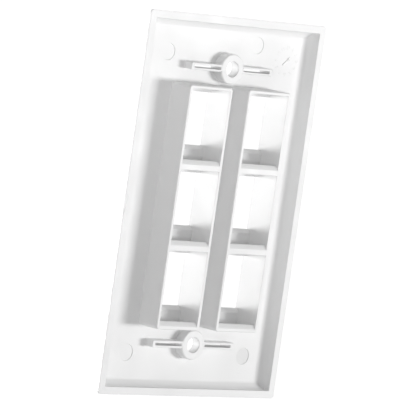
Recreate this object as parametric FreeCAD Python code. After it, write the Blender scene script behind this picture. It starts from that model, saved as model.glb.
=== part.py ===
import FreeCAD
import Part
import math
import os

# Six-port keystone faceplate for a single-gang wall box, moulded in one piece.
# Millimetres. Z runs up the plate, the face that people see looks towards -Y,
# and the ports open towards +Y into the wall. The origin is the plate's centre
# in the wall plane, which is where the rim meets the wall.

V = FreeCAD.Vector

# Plate
plate_width = 69.85
plate_height = 114.3
plate_depth = 5.85
corner_radius = 1.0
gate_relief_length = 7.6
gate_relief_inset = 0.6
rim_width = 2.3
edge_land = 0.4
edge_run = 5.6
edge_bulge = 0.5
panel_thickness = 2.2
cove_radius = 2.7

# Port columns
column_count = 2
rows_per_column = 3
column_pitch = 23.3
column_rise = 4.75
port_pitch = 24.2
port_width = 14.9
side_wall = 1.05
end_wall = 0.92
column_corner = 1.1

# One port: its opening in the face, and the catch for the jack's flexible latch
opening_height = 16.1
cavity_length = 22.75
fixed_lip = 1.6
catch_overhang = 1.45
catch_slope_depth = 1.35
catch_nose = 0.5
catch_undercut = 0.4
sill_bevel_height = 1.2
sill_bevel_depth = 0.85
opening_bevel = 0.3

# Screw bosses and their countersunk holes
screw_spacing = 83.34
boss_diameter = 9.1
boss_below_wall_plane = 0.45
screw_hole_diameter = 4.8
countersink_diameter = 7.6
countersink_angle = 82.0

# Slot boxes beside each boss, and the shallow label recess in the face
slot_box_length = 32.3
slot_box_width = 2.2
slot_box_corner = 0.3
slot_box_below_wall_plane = 0.5
slit_end_wall = 1.15
slit_width = 0.85
label_width = 40.0
label_height = 9.6
label_depth = 0.5
label_corner = 1.0

# Ejector-pin marks in the floor
mark_diameter = 5.05
mark_depth = 0.2
mark_across = 23.2
mark_up = 45.0
extra_mark_across = 11.4
extra_mark_up = 49.2

# Small breaks on the edges of the standing walls, and how far cutting tools overrun
wall_break = 0.25
boss_break = 0.3
slot_box_break = 0.15
overrun = 1.0

floor_level = panel_thickness - plate_depth
root_level = floor_level - panel_thickness / 2
label_floor = label_depth - plate_depth
column_width = port_width + 2 * side_wall
bar_thickness = port_pitch - cavity_length
column_length = rows_per_column * port_pitch - bar_thickness + 2 * end_wall


def section_point(across, depth, start, axis):
    # A point of a cross-section that spans the plate along X or along Z.
    if axis == "x":
        return V(across, depth, start)
    return V(start, depth, across)


def mirrored_section(right_side, half, start, axis):
    # Close a section whose right side runs from the wall side to the face side.
    def place(point):
        return section_point(point[0], point[1], start, axis)

    def other(point):
        return section_point(-point[0], point[1], start, axis)

    edges = []
    for curve in right_side:
        for side in (place, other):
            points = [side(point) for point in curve]
            if len(points) == 2:
                edges.append(Part.makeLine(points[0], points[1]))
            else:
                edges.append(Part.Arc(points[0], points[1], points[2]).toShape())
    for end in (right_side[0][0], right_side[-1][-1]):
        edges.append(Part.makeLine(place(end), other(end)))
    return Part.Face(Part.Wire(Part.__sortEdges__(edges)))


def crossed_prism(section_of):
    # Two prisms with the same edge form, crossed, so that their sides meet in mitres.
    wide = section_of(plate_width / 2, -plate_height / 2, "x")
    tall = section_of(plate_height / 2, -plate_width / 2, "z")
    along_z = wide.extrude(V(0, 0, plate_height))
    along_x = tall.extrude(V(plate_width, 0, 0))
    return along_z.common(along_x)


def body_section(half, start, axis):
    # The plate's outer form: a short land at the wall, then an edge that curves in
    # to the face.
    drop = plate_depth - edge_land
    chord = math.hypot(edge_run, drop)
    land_end = (half, -edge_land)
    face_end = (half - edge_run, -plate_depth)
    middle = (
        (land_end[0] + face_end[0]) / 2 + edge_bulge * drop / chord,
        (land_end[1] + face_end[1]) / 2 - edge_bulge * edge_run / chord,
    )
    right_side = [
        [(half, 0), land_end],
        [land_end, middle, face_end],
    ]
    return mirrored_section(right_side, half, start, axis)


def pocket_section(half, start, axis):
    # The hollow behind the plate: upright at the rim, then a cove down to the floor.
    rim_inside = half - rim_width
    centre = (rim_inside - cove_radius, floor_level + cove_radius)
    diagonal = cove_radius * math.sqrt(0.5)
    cove_top = (rim_inside, centre[1])
    cove_middle = (centre[0] + diagonal, centre[1] - diagonal)
    cove_foot = (centre[0], floor_level)
    right_side = [
        [(rim_inside, overrun), cove_top],
        [cove_top, cove_middle, cove_foot],
    ]
    return mirrored_section(right_side, half, start, axis)


def upright_block(width, height, corner, low, high, x=0.0, z=0.0):
    # A block standing along Y from low to high, with rounded corners.
    block = Part.makeBox(width, high - low, height, V(x - width / 2, low, z - height / 2))
    corners = [edge for edge in block.Edges if edge.BoundBox.YLength > (high - low) / 2]
    return block.makeFillet(corner, corners)


def break_rear_edges(shape, level, size):
    rear = [edge for edge in shape.Edges if edge.BoundBox.YMin > level - size / 10]
    return shape.makeChamfer(size, rear)


def plate_shell():
    body = crossed_prism(body_section)
    outline = upright_block(
        plate_width, plate_height, corner_radius, -plate_depth - overrun, overrun
    )
    hollow = crossed_prism(pocket_section)
    return body.common(outline).cut([hollow, gate_relief()])


def gate_relief():
    # A shallow arc out of one long edge, so that the trimmed gate doesn't stand proud.
    half_chord = gate_relief_length / 2
    radius = (half_chord ** 2 + gate_relief_inset ** 2) / (2 * gate_relief_inset)
    centre = V(plate_width / 2 - gate_relief_inset + radius, -plate_depth, 0)
    return Part.makeCylinder(radius, plate_depth + overrun, centre, V(0, 1, 0))


def column_places():
    first = -column_pitch * (column_count - 1) / 2
    return [first + column_pitch * index for index in range(column_count)]


def port_places():
    first = -port_pitch * (rows_per_column - 1) / 2
    rows = [first + port_pitch * index for index in range(rows_per_column)]
    return [(x, z) for x in column_places() for z in rows]


def port_column(x):
    block = upright_block(
        column_width, column_length, column_corner, root_level, column_rise, x
    )
    return break_rear_edges(block, column_rise, wall_break)


def port_cutter(x, z):
    # The space of one port, seen from the side: the opening in the face, the room
    # behind its two lips, the bevelled sill and the sloped catch at the lower wall.
    top = z + cavity_length / 2
    bottom = z - cavity_length / 2
    opening_top = top - fixed_lip
    opening_bottom = opening_top - opening_height
    catch_tip = bottom + catch_overhang
    slope_end = column_rise - catch_slope_depth
    nose_end = slope_end - catch_nose
    face_side = -plate_depth - overrun
    wall_side = column_rise + overrun
    sill_edge = floor_level - sill_bevel_depth
    outline = [
        (opening_bottom, face_side),
        (opening_top, face_side),
        (opening_top, floor_level),
        (top, floor_level),
        (top, wall_side),
        (bottom, wall_side),
        (bottom, column_rise),
        (catch_tip, slope_end),
        (catch_tip, nose_end),
        (bottom, nose_end - catch_undercut),
        (bottom, floor_level),
        (opening_bottom - sill_bevel_height, floor_level),
        (opening_bottom, sill_edge),
    ]
    points = [V(x - port_width / 2, depth, up) for up, depth in outline]
    side = Part.Face(Part.makePolygon(points + points[:1]))
    return side.extrude(V(port_width, 0, 0))


def rectangle(width, low, high, x, depth):
    corners = [
        V(x - width / 2, depth, low),
        V(x + width / 2, depth, low),
        V(x + width / 2, depth, high),
        V(x - width / 2, depth, high),
    ]
    return Part.makePolygon(corners + corners[:1])


def opening_bevel_cutter(x, z):
    # The small bevel around the opening in the face.
    high = z + cavity_length / 2 - fixed_lip
    low = high - opening_height
    spread = opening_bevel
    outside = rectangle(
        port_width + 2 * spread, low - spread, high + spread, x, -plate_depth
    )
    inside = rectangle(port_width, low, high, x, opening_bevel - plate_depth)
    return Part.makeLoft([outside, inside], True, True)


def screw_places():
    return [-screw_spacing / 2, screw_spacing / 2]


def screw_boss(z):
    rear = -boss_below_wall_plane
    boss = Part.makeCylinder(
        boss_diameter / 2, rear - root_level, V(0, root_level, z), V(0, 1, 0)
    )
    return break_rear_edges(boss, rear, boss_break)


def screw_hole(z):
    # A through bore with a countersink that opens at the bottom of the label recess.
    bore_radius = screw_hole_diameter / 2
    sink_radius = countersink_diameter / 2
    bore = Part.makeCylinder(
        bore_radius, plate_depth + overrun, V(0, -plate_depth, z), V(0, 1, 0)
    )
    sink_depth = (sink_radius - bore_radius) / math.tan(math.radians(countersink_angle / 2))
    sink = Part.makeCone(sink_radius, bore_radius, sink_depth, V(0, label_floor, z), V(0, 1, 0))
    return bore.fuse(sink)


def slot_box(z):
    rear = -slot_box_below_wall_plane
    box = upright_block(
        slot_box_length, slot_box_width, slot_box_corner, root_level, rear, 0.0, z
    )
    return break_rear_edges(box, rear, slot_box_break)


def slit(z):
    # A through slit along the slot box, which the boss parts in two.
    length = slot_box_length - 2 * slit_end_wall
    low = -plate_depth - overrun
    whole = upright_block(length, slit_width, slit_width / 3, low, overrun, 0.0, z)
    boss = Part.makeCylinder(
        boss_diameter / 2, plate_depth + 3 * overrun, V(0, low - overrun, z), V(0, 1, 0)
    )
    return whole.cut(boss)


def label_recess(z):
    low = -plate_depth - overrun
    return upright_block(label_width, label_height, label_corner, low, label_floor, 0.0, z)


def ejector_marks():
    # Three corners of the floor, and one more above the upper boss.
    places = [
        (mark_across, mark_up),
        (mark_across, -mark_up),
        (-mark_across, -mark_up),
        (-extra_mark_across, extra_mark_up),
    ]
    return [
        Part.makeCylinder(
            mark_diameter / 2, overrun, V(x, floor_level - mark_depth, z), V(0, 1, 0)
        )
        for x, z in places
    ]


def faceplate():
    standing = [port_column(x) for x in column_places()]
    for z in screw_places():
        standing.append(screw_boss(z))
        standing.append(slot_box(z))
    plate = plate_shell().fuse(standing)

    cutters = []
    for x, z in port_places():
        cutters.append(port_cutter(x, z))
        cutters.append(opening_bevel_cutter(x, z))
    for z in screw_places():
        cutters.append(label_recess(z))
        cutters.append(screw_hole(z))
        cutters.append(slit(z))
    cutters.extend(ejector_marks())
    return plate.cut(cutters).removeSplitter()


os.makedirs("parts", exist_ok=True)
solid = faceplate().Solids[0]
solid.exportStep("parts/faceplate.step")
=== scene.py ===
import math

import bmesh
import bpy
from mathutils import Matrix, Vector


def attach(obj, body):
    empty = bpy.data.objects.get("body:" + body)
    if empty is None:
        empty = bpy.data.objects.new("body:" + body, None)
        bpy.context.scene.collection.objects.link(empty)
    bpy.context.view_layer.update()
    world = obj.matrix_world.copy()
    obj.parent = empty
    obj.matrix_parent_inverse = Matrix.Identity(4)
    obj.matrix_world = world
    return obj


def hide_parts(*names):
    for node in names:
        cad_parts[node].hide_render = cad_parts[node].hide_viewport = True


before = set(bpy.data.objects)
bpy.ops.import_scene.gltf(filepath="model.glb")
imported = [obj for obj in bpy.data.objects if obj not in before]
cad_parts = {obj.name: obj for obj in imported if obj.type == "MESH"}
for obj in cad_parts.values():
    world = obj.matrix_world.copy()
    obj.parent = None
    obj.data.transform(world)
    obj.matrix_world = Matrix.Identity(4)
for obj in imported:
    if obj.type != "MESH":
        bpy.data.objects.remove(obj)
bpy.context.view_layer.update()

# A six-port keystone faceplate seen from behind. X runs across the plate, Z up it,
# and +Y points into the wall, which is where the camera stands.

scene = bpy.context.scene


def addNode(tree, kind, values=None, **settings):
    node = tree.nodes.new(kind)
    for name, value in settings.items():
        setattr(node, name, value)
    for name, value in (values or {}).items():
        node.inputs[name].default_value = value
    return node


def wire(tree, *pairs):
    for start, end in pairs:
        tree.links.new(start, end)


def newMaterial(name):
    material = bpy.data.materials.new(name)
    material.use_nodes = True
    material.node_tree.nodes.clear()
    return material, material.node_tree


skinSettings = {
    "fields": {                 # sizes in metres
        "Grain": {"size": 0.00022, "detail": 2.0, "roughness": 0.55},   # etched by the mould
        "Flow": {"size": 0.012, "detail": 3.0, "roughness": 0.5},       # slow unevenness
        "Speck": {"size": 0.0016, "detail": 4.0, "roughness": 0.6},     # faint and cloudy
    },
    "flowHeight": 3.0,          # how much taller the unevenness is than the grain
    "speckFrom": 0.62,          # where in its field a speck starts and is full
    "speckFull": 0.80,
    "smoothAt": 0.3,            # where in the unevenness the skin is smoothest and dullest
    "dullAt": 0.7,
}


def mouldedSkinGroup(settings):
    # Grain, slow unevenness and specks on object coordinates, shared by every finish.
    group = bpy.data.node_groups.new("mouldedSkin", "ShaderNodeTree")
    for name, field in settings["fields"].items():
        socket = group.interface.new_socket(
            name + " Size", in_out="INPUT", socket_type="NodeSocketFloat"
        )
        socket.default_value = field["size"]
    for name in ("Height", "Cloud", "Speck"):
        group.interface.new_socket(name, in_out="OUTPUT", socket_type="NodeSocketFloat")
    inside = addNode(group, "NodeGroupInput")
    outside = addNode(group, "NodeGroupOutput")
    place = addNode(group, "ShaderNodeTexCoord")
    fields = {}
    for name, field in settings["fields"].items():
        scale = addNode(group, "ShaderNodeMath", {0: 1.0}, operation="DIVIDE")
        noise = addNode(
            group,
            "ShaderNodeTexNoise",
            {"Detail": field["detail"], "Roughness": field["roughness"]},
        )
        wire(
            group,
            (inside.outputs[name + " Size"], scale.inputs[1]),
            (scale.outputs[0], noise.inputs["Scale"]),
            (place.outputs["Object"], noise.inputs["Vector"]),
        )
        fields[name] = noise.outputs["Fac"]
    slow = addNode(group, "ShaderNodeMath", {1: settings["flowHeight"]}, operation="MULTIPLY")
    both = addNode(group, "ShaderNodeMath", operation="ADD")
    specks = addNode(
        group,
        "ShaderNodeMapRange",
        {"From Min": settings["speckFrom"], "From Max": settings["speckFull"]},
    )
    wire(
        group,
        (fields["Flow"], slow.inputs[0]),
        (slow.outputs[0], both.inputs[0]),
        (fields["Grain"], both.inputs[1]),
        (both.outputs[0], outside.inputs["Height"]),
        (fields["Flow"], outside.inputs["Cloud"]),
        (fields["Speck"], specks.inputs["Value"]),
        (specks.outputs["Result"], outside.inputs["Speck"]),
    )
    return group


plasticFinishes = {             # smooth and dull are the least and the most roughness
    "whitePlastic": {
        "colour": (0.865, 0.865, 0.865, 1.0),
        "speckColour": (0.845, 0.845, 0.845, 1.0),
        "smooth": 0.40,
        "dull": 0.52,
        "bumpStrength": 0.10,
        "bumpDistance": 0.00003,
        "refraction": 1.46,
    },
    "pinMark": {                # one ejector-pin mark's floor has a duller skin, a little greyer than the rest
        "colour": (0.82, 0.82, 0.82, 1.0),
        "speckColour": (0.795, 0.795, 0.795, 1.0),
        "smooth": 0.50,
        "dull": 0.64,
        "bumpStrength": 0.22,
        "bumpDistance": 0.00003,
        "refraction": 1.46,
    },
}


def mouldedPlastic(name, settings, skin):
    material, tree = newMaterial(name)
    output = addNode(tree, "ShaderNodeOutputMaterial")
    plastic = addNode(tree, "ShaderNodeBsdfPrincipled", {"IOR": settings["refraction"]})
    texture = addNode(tree, "ShaderNodeGroup", node_tree=skin)
    colour = addNode(tree, "ShaderNodeMix", data_type="RGBA")
    colour.inputs[6].default_value = settings["colour"]
    colour.inputs[7].default_value = settings["speckColour"]
    gloss = addNode(
        tree,
        "ShaderNodeMapRange",
        {
            "From Min": skinSettings["smoothAt"],
            "From Max": skinSettings["dullAt"],
            "To Min": settings["smooth"],
            "To Max": settings["dull"],
        },
    )
    bump = addNode(
        tree,
        "ShaderNodeBump",
        {"Strength": settings["bumpStrength"], "Distance": settings["bumpDistance"]},
    )
    wire(
        tree,
        (texture.outputs["Speck"], colour.inputs[0]),
        (colour.outputs[2], plastic.inputs["Base Color"]),
        (texture.outputs["Cloud"], gloss.inputs["Value"]),
        (gloss.outputs["Result"], plastic.inputs["Roughness"]),
        (texture.outputs["Height"], bump.inputs["Height"]),
        (bump.outputs["Normal"], plastic.inputs["Normal"]),
        (plastic.outputs["BSDF"], output.inputs["Surface"]),
    )
    return material


skinGroup = mouldedSkinGroup(skinSettings)
finishes = {
    name: mouldedPlastic(name, values, skinGroup) for name, values in plasticFinishes.items()
}
print("materials:", ", ".join(finishes))


plateSettings = {
    "mergeDistance": 0.000001,
    "flatAngle": 0.3,           # degrees: facets nearer to level than this become one face
    "edgeAngle": 28.0,          # degrees: sharper edges than this are rounded
    "edgeRadius": 0.00008,
    "edgeSegments": 2,
    "shadingWeight": 50,
    "pinMarkPlace": (-0.0232, -0.00385, -0.0450),   # the ejector-pin mark with the duller skin
    "pinMarkNear": 0.0005,
    "levelNormal": 0.99,        # a face whose normal has more than this of +Y lies level
}


catchSettings = {
    "width": 0.0149,            # a catch slope is the only face with these two sides
    "slant": 0.00198,
    "near": 0.00005,
    "steps": 6,
    "footLean": 20.0,           # degrees off upright at the slope's foot and at its tip
    "tipLean": 42.0,
}


def isCatch(face, settings):
    sides = sorted(edge.calc_length() for edge in face.edges)
    wanted = [settings["slant"], settings["slant"], settings["width"], settings["width"]]
    return len(sides) == 4 and all(
        abs(side - want) < settings["near"] for side, want in zip(sides, wanted)
    )


def curveCatches(build, settings):
    # A latch catch's straight slope becomes a crowned one that leans more towards its tip.
    footLean = math.tan(math.radians(settings["footLean"]))
    tipLean = math.tan(math.radians(settings["tipLean"]))
    slopes = [face for face in build.faces if isCatch(face, settings)]
    for face in slopes:
        foot = min(vert.co.z for vert in face.verts)
        height = max(vert.co.z for vert in face.verts) - foot
        level = max(vert.co.y for vert in face.verts)

        def place(vert):
            rise = (vert.co.z - foot) / height
            lean = footLean * rise + (tipLean - footLean) * rise ** 2 / 2
            vert.co.y = level - height * lean

        for vert in face.verts:
            place(vert)
        ends = [edge for edge in face.edges if edge.calc_length() < settings["width"] / 2]
        made = bmesh.ops.subdivide_edges(
            build, edges=ends, cuts=settings["steps"] - 1, use_grid_fill=True
        )
        for item in made["geom_inner"]:
            if isinstance(item, bmesh.types.BMVert):
                place(item)
    return len(slopes)


def mergedCopy(node, name, settings):
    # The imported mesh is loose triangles, so its corners are joined first.
    mesh = node.data.copy()
    mesh.name = name
    build = bmesh.new()
    build.from_mesh(mesh)
    bmesh.ops.remove_doubles(build, verts=build.verts, dist=settings["mergeDistance"])
    bmesh.ops.dissolve_limit(
        build,
        angle_limit=math.radians(settings["flatAngle"]),
        verts=build.verts,
        edges=build.edges,
    )
    crowned = curveCatches(build, catchSettings)
    build.to_mesh(mesh)
    build.free()
    mesh.materials.clear()
    piece = bpy.data.objects.new(name, mesh)
    scene.collection.objects.link(piece)
    return piece, crowned


def roundEdges(piece, settings):
    piece.data.shade_smooth()
    rounding = piece.modifiers.new("roundEdges", "BEVEL")
    rounding.width = settings["edgeRadius"]
    rounding.segments = settings["edgeSegments"]
    rounding.limit_method = "ANGLE"
    rounding.angle_limit = math.radians(settings["edgeAngle"])
    rounding.use_clamp_overlap = False
    rounding.harden_normals = False
    shading = piece.modifiers.new("evenShading", "WEIGHTED_NORMAL")
    shading.keep_sharp = False
    shading.weight = settings["shadingWeight"]


def finishPlate(piece, settings):
    # The pin mark's floor takes the second finish, and everything else the first.
    piece.data.materials.append(finishes["whitePlastic"])
    piece.data.materials.append(finishes["pinMark"])
    place = Vector(settings["pinMarkPlace"])
    dull = 0
    for face in piece.data.polygons:
        near = (face.center - place).length < settings["pinMarkNear"]
        if near and face.normal.y > settings["levelNormal"]:
            face.material_index = 1
            dull += 1
    return dull


plate, catchCount = mergedCopy(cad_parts["faceplate"], "plate", plateSettings)
dullFaces = finishPlate(plate, plateSettings)
roundEdges(plate, plateSettings)
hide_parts("faceplate")
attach(plate, "root")
print("catches crowned:", catchCount)
print("plate:", len(plate.data.polygons), "faces before rounding,", dullFaces, "dull")


dialSettings = {
    "centre": (-0.0239, -0.00365, 0.0454),  # on the floor, in the corner without a pin mark
    "ringRadius": 0.0040,
    "numeralCount": 12,
    "numeralSize": 0.00155,
    "numeralRelief": 0.00006,
    "numeralMerge": 0.000002,
    "arrowAngle": 43.5,         # degrees anticlockwise from level, seen from behind
    "arrowBack": 0.0019,
    "arrowFront": 0.0018,
    "arrowWidth": 0.00042,
    "headLength": 0.00095,
    "headWidth": 0.00115,
    "arrowRelief": 0.00026,
    "arrowDraft": 0.00006,      # how much narrower all round the top is than the foot
    "headSideTrim": 1.6,        # the slanting head needs more of that draft at its sides
    "headTipTrim": 2.2,         # and more still at its tip
    "arrowSoftening": 0.00005,
    "arrowSegments": 2,
    "sunk": 0.00003,            # how far both reach into the floor
}


def onDialFloor(settings):
    # Local X is to the right seen from behind, local Y is up and local Z comes off the floor.
    turn = Matrix(((-1, 0, 0), (0, 0, 1), (0, 1, 0))).to_4x4()
    return Matrix.Translation(settings["centre"]) @ turn


def numeralRingTree(settings, finish):
    # Numerals 1 to 12 as a clock has them, their tops outwards, raised by one relief.
    count = settings["numeralCount"]
    tree = bpy.data.node_groups.new("numeralRing", "GeometryNodeTree")
    for name in ("Ring Radius", "Numeral Size", "Relief", "Sunk"):
        tree.interface.new_socket(name, in_out="INPUT", socket_type="NodeSocketFloat")
    tree.interface.new_socket("Geometry", in_out="OUTPUT", socket_type="NodeSocketGeometry")
    inside = addNode(tree, "NodeGroupInput")
    outside = addNode(tree, "NodeGroupOutput")
    ring = addNode(tree, "GeometryNodeMeshCircle", {"Vertices": count})
    place = addNode(tree, "GeometryNodeInstanceOnPoints", {"Pick Instance": True})
    here = addNode(tree, "GeometryNodeInputPosition")
    outward = addNode(tree, "FunctionNodeAlignRotationToVector", axis="Y", pivot_axis="Z")
    numerals = addNode(tree, "GeometryNodeGeometryToInstance")
    for index in range(count):
        hour = (index + count // 4) % count + 1     # the socket joins its links last first
        text = addNode(
            tree,
            "GeometryNodeStringToCurves",
            {"String": str(hour)},
            align_x="CENTER",
            align_y="MIDDLE",
        )
        flat = addNode(tree, "GeometryNodeFillCurve")
        wire(
            tree,
            (inside.outputs["Numeral Size"], text.inputs["Size"]),
            (text.outputs["Curve Instances"], flat.inputs["Curve"]),
            (flat.outputs["Mesh"], numerals.inputs[0]),
        )
    loose = addNode(tree, "GeometryNodeRealizeInstances")
    lower = addNode(tree, "GeometryNodeSetPosition")
    down = addNode(tree, "ShaderNodeCombineXYZ")
    depth = addNode(tree, "ShaderNodeMath", {1: -1.0}, operation="MULTIPLY")
    total = addNode(tree, "ShaderNodeMath", operation="ADD")
    raised = addNode(tree, "GeometryNodeExtrudeMesh", {"Individual": False})
    under = addNode(tree, "GeometryNodeFlipFaces")
    joined = addNode(tree, "GeometryNodeJoinGeometry")
    closed = addNode(
        tree, "GeometryNodeMergeByDistance", {"Distance": settings["numeralMerge"]}
    )
    whole = addNode(tree, "GeometryNodeRealizeInstances")
    painted = addNode(tree, "GeometryNodeSetMaterial", {"Material": finish})
    wire(
        tree,
        (inside.outputs["Ring Radius"], ring.inputs["Radius"]),
        (ring.outputs["Mesh"], place.inputs["Points"]),
        (numerals.outputs["Instances"], place.inputs["Instance"]),
        (here.outputs["Position"], outward.inputs["Vector"]),
        (outward.outputs["Rotation"], place.inputs["Rotation"]),
        (place.outputs["Instances"], loose.inputs["Geometry"]),
        (inside.outputs["Sunk"], depth.inputs[0]),
        (depth.outputs[0], down.inputs["Z"]),
        (loose.outputs["Geometry"], lower.inputs["Geometry"]),
        (down.outputs["Vector"], lower.inputs["Offset"]),
        (inside.outputs["Relief"], total.inputs[0]),
        (inside.outputs["Sunk"], total.inputs[1]),
        (lower.outputs["Geometry"], raised.inputs["Mesh"]),
        (total.outputs[0], raised.inputs["Offset Scale"]),
        (lower.outputs["Geometry"], under.inputs["Mesh"]),
        (raised.outputs["Mesh"], joined.inputs["Geometry"]),
        (under.outputs["Mesh"], joined.inputs["Geometry"]),
        (joined.outputs["Geometry"], closed.inputs["Geometry"]),
        (closed.outputs["Geometry"], whole.inputs["Geometry"]),
        (whole.outputs["Geometry"], painted.inputs["Geometry"]),
        (painted.outputs["Geometry"], outside.inputs["Geometry"]),
    )
    return tree


def grownMesh(tree, name, values):
    # Runs a geometry tree with its named inputs and keeps the result as a plain mesh.
    holder = bpy.data.objects.new(name + "Maker", bpy.data.meshes.new(name + "Seed"))
    scene.collection.objects.link(holder)
    maker = holder.modifiers.new("maker", "NODES")
    maker.node_group = tree
    for item in tree.interface.items_tree:
        if item.in_out == "INPUT" and item.name in values:
            maker[item.identifier] = values[item.name]
    holder.update_tag()
    bpy.context.view_layer.update()
    shown = holder.evaluated_get(bpy.context.evaluated_depsgraph_get())
    mesh = bpy.data.meshes.new_from_object(shown)
    mesh.name = name
    holder.modifiers.remove(maker)
    bpy.data.objects.remove(holder)
    return mesh


def buildNumerals(settings, finish):
    values = {
        "Ring Radius": settings["ringRadius"],
        "Numeral Size": settings["numeralSize"],
        "Relief": settings["numeralRelief"],
        "Sunk": settings["sunk"],
    }
    mesh = grownMesh(numeralRingTree(settings, finish), "dialNumerals", values)
    mesh.transform(onDialFloor(settings))
    piece = bpy.data.objects.new("dialNumerals", mesh)
    scene.collection.objects.link(piece)
    return piece


def buildArrow(settings, finish):
    # A raised arrow with drafted sides: one outline at the floor, a narrower one on top.
    half = settings["arrowWidth"] / 2
    neck = settings["arrowFront"] - settings["headLength"]
    draft = settings["arrowDraft"]

    def outline(trim, level):
        side = half - trim
        back = -settings["arrowBack"] + trim
        tip = settings["arrowFront"] - settings["headTipTrim"] * trim
        headSide = settings["headWidth"] / 2 - settings["headSideTrim"] * trim
        points = [
            (back, -side),
            (neck + trim, -side),
            (neck + trim, -headSide),
            (tip, 0.0),
            (neck + trim, headSide),
            (neck + trim, side),
            (back, side),
        ]
        return [(along, across, level) for along, across in points]

    build = bmesh.new()
    foot = [build.verts.new(point) for point in outline(0.0, -settings["sunk"])]
    top = [build.verts.new(point) for point in outline(draft, settings["arrowRelief"])]
    for start in range(len(foot)):
        following = (start + 1) % len(foot)
        build.faces.new((foot[start], foot[following], top[following], top[start]))
    build.faces.new(top)
    build.faces.new(list(reversed(foot)))
    bmesh.ops.recalc_face_normals(build, faces=build.faces)
    mesh = bpy.data.meshes.new("dialArrow")
    build.to_mesh(mesh)
    build.free()
    mesh.transform(Matrix.Rotation(math.radians(settings["arrowAngle"]), 4, "Z"))
    mesh.transform(onDialFloor(settings))
    mesh.materials.append(finish)
    piece = bpy.data.objects.new("dialArrow", mesh)
    scene.collection.objects.link(piece)
    softened = piece.modifiers.new("softEdges", "BEVEL")
    softened.width = settings["arrowSoftening"]
    softened.segments = settings["arrowSegments"]
    softened.limit_method = "ANGLE"
    return piece


numerals = buildNumerals(dialSettings, finishes["whitePlastic"])
arrow = buildArrow(dialSettings, finishes["whitePlastic"])
for piece in (numerals, arrow):
    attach(piece, "root")
print("date dial:", len(numerals.data.polygons), "faces of numerals and an arrow")


roomSettings = {
    "floorLevel": -0.60,
    "floorReach": 14.0,
    "floorColour": (0.9, 0.9, 0.9, 1.0),
    "floorRoughness": 0.9,
    "floorSpecular": 0.1,
    "floorGlow": 0.74,          # only towards the camera, so that a pale floor reads white
    "white": (1.0, 1.0, 1.0, 1.0),
    "fill": 0.35,               # how strongly the room lights the plate
    "backdrop": 1.0,            # how bright the room itself looks; 1 is white
}


def whiteRayMask(tree):
    # Camera, glossy and transmission rays see the white room; the light stays plain.
    rays = addNode(tree, "ShaderNodeLightPath")
    first = addNode(tree, "ShaderNodeMath", operation="MAXIMUM")
    second = addNode(tree, "ShaderNodeMath", operation="MAXIMUM")
    wire(
        tree,
        (rays.outputs["Is Camera Ray"], first.inputs[0]),
        (rays.outputs["Is Glossy Ray"], first.inputs[1]),
        (first.outputs[0], second.inputs[0]),
        (rays.outputs["Is Transmission Ray"], second.inputs[1]),
    )
    return second.outputs[0]


def buildFloor(settings):
    reach = settings["floorReach"]
    height = settings["floorLevel"]
    mesh = bpy.data.meshes.new("floor")
    corners = [(-reach, -reach), (reach, -reach), (reach, reach), (-reach, reach)]
    mesh.from_pydata([(x, y, height) for x, y in corners], [], [(0, 1, 2, 3)])
    floor = bpy.data.objects.new("floor", mesh)
    scene.collection.objects.link(floor)
    material, tree = newMaterial("paleFloor")
    output = addNode(tree, "ShaderNodeOutputMaterial")
    matt = addNode(
        tree,
        "ShaderNodeBsdfPrincipled",
        {
            "Base Color": settings["floorColour"],
            "Roughness": settings["floorRoughness"],
            "Specular IOR Level": settings["floorSpecular"],
        },
    )
    glow = addNode(tree, "ShaderNodeEmission")
    amount = addNode(tree, "ShaderNodeMath", {1: settings["floorGlow"]}, operation="MULTIPLY")
    both = addNode(tree, "ShaderNodeAddShader")
    wire(
        tree,
        (whiteRayMask(tree), amount.inputs[0]),
        (amount.outputs[0], glow.inputs["Strength"]),
        (matt.outputs["BSDF"], both.inputs[0]),
        (glow.outputs["Emission"], both.inputs[1]),
        (both.outputs["Shader"], output.inputs["Surface"]),
    )
    mesh.materials.append(material)


def buildWorld(settings):
    world = bpy.data.worlds.new("whiteRoom")
    world.use_nodes = True
    tree = world.node_tree
    tree.nodes.clear()
    output = addNode(tree, "ShaderNodeOutputWorld")
    fill = addNode(
        tree,
        "ShaderNodeBackground",
        {"Color": settings["white"], "Strength": settings["fill"]},
    )
    white = addNode(
        tree,
        "ShaderNodeBackground",
        {"Color": settings["white"], "Strength": settings["backdrop"]},
    )
    choose = addNode(tree, "ShaderNodeMixShader")
    wire(
        tree,
        (whiteRayMask(tree), choose.inputs["Fac"]),
        (fill.outputs["Background"], choose.inputs[1]),
        (white.outputs["Background"], choose.inputs[2]),
        (choose.outputs["Shader"], output.inputs["Surface"]),
    )
    scene.world = world


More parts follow.
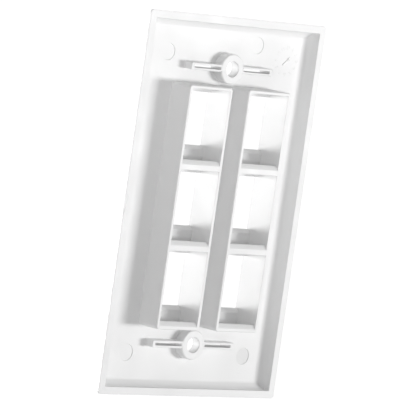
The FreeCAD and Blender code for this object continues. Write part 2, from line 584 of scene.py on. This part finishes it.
lampSettings = {                # metres, watts, and degrees that the light fans out
    "keyLamp": {
        "place": (-0.739, 0.946, -0.010),
        "aim": (0, 0, 0),
        "shape": "RECTANGLE",
        "size": (0.42, 0.17),
        "power": 7.1,
        "fan": 180,
    },
    "sideFill": {
        "place": (0.878, 0.818, 0.0),
        "aim": (0, 0, 0.10),
        "shape": "DISK",
        "size": (0.12, 0.12),
        "power": 0.007,
        "fan": 17,
    },
    "highFill": {
        "place": (0.600, 1.039, 0.0),
        "aim": (0, 0, 0.10),
        "shape": "DISK",
        "size": (0.12, 0.12),
        "power": 0.0150,
        "fan": 17,
    },
    "lowFill": {
        "place": (0.557, 0.663, -0.5),
        "aim": (0, 0, 0.10),
        "shape": "DISK",
        "size": (0.2, 0.2),
        "power": 0.015,
        "fan": 22,
    },
    "portLamp": {               # stands on the face's side and shines in through the ports
        "place": (1.175, -0.918, -0.163),
        "aim": (0, 0, 0),
        "shape": "RECTANGLE",
        "size": (0.26, 0.37),
        "power": 11.0,
        "fan": 180,
    },
    "faceLamp": {
        "place": (-0.41, -1.116, -0.167),
        "aim": (0, 0, 0),
        "shape": "DISK",
        "size": (0.3, 0.3),
        "power": 2.5,
        "fan": 180,
    },
}


def addLamp(name, settings):
    place = Vector(settings["place"])
    data = bpy.data.lights.new(name, "AREA")
    data.shape = settings["shape"]
    data.size, data.size_y = settings["size"]
    data.energy = settings["power"]
    data.spread = math.radians(settings["fan"])
    lamp = bpy.data.objects.new(name, data)
    lamp.location = place
    lamp.rotation_euler = (place - Vector(settings["aim"])).to_track_quat("Z", "Y").to_euler()
    lamp.visible_camera = False
    scene.collection.objects.link(lamp)


cameraSettings = {
    "azimuth": 138.18,          # degrees round the plate; 180 looks square at its back
    "elevation": 5.02,
    "turn": 8.09,               # degrees that the plate leans clockwise in the view
    "distance": 1.331,
    "lens": 386.6,
    "sensor": 36.0,
    "aimAside": 0.00179,        # how far left of the plate's middle the view is centred
    "nearest": 0.05,
    "farthest": 40.0,
}


def buildCamera(settings):
    azimuth = math.radians(settings["azimuth"])
    elevation = math.radians(settings["elevation"])
    turn = math.radians(settings["turn"])
    back = Vector((
        math.sin(azimuth) * math.cos(elevation),
        -math.cos(azimuth) * math.cos(elevation),
        math.sin(elevation),
    ))
    level = Vector((0, 0, 1)).cross(back).normalized()
    upright = back.cross(level)
    right = level * math.cos(turn) + upright * math.sin(turn)
    up = upright * math.cos(turn) - level * math.sin(turn)
    place = back * settings["distance"]
    back = (place + right * settings["aimAside"]).normalized()
    right = up.cross(back).normalized()
    up = back.cross(right)
    data = bpy.data.cameras.new("camera")
    data.sensor_width = settings["sensor"]
    data.lens = settings["lens"]
    data.clip_start = settings["nearest"]
    data.clip_end = settings["farthest"]
    camera = bpy.data.objects.new("camera", data)
    axes = Matrix((right, up, back)).transposed()
    camera.matrix_world = Matrix.Translation(place) @ axes.to_4x4()
    scene.collection.objects.link(camera)
    scene.camera = camera


buildFloor(roomSettings)
buildWorld(roomSettings)
for lampName, lampValues in lampSettings.items():
    addLamp(lampName, lampValues)
buildCamera(cameraSettings)
scene.view_settings.view_transform = "Standard"
print("room: floor, fill light,", len(lampSettings), "lamps and the camera")
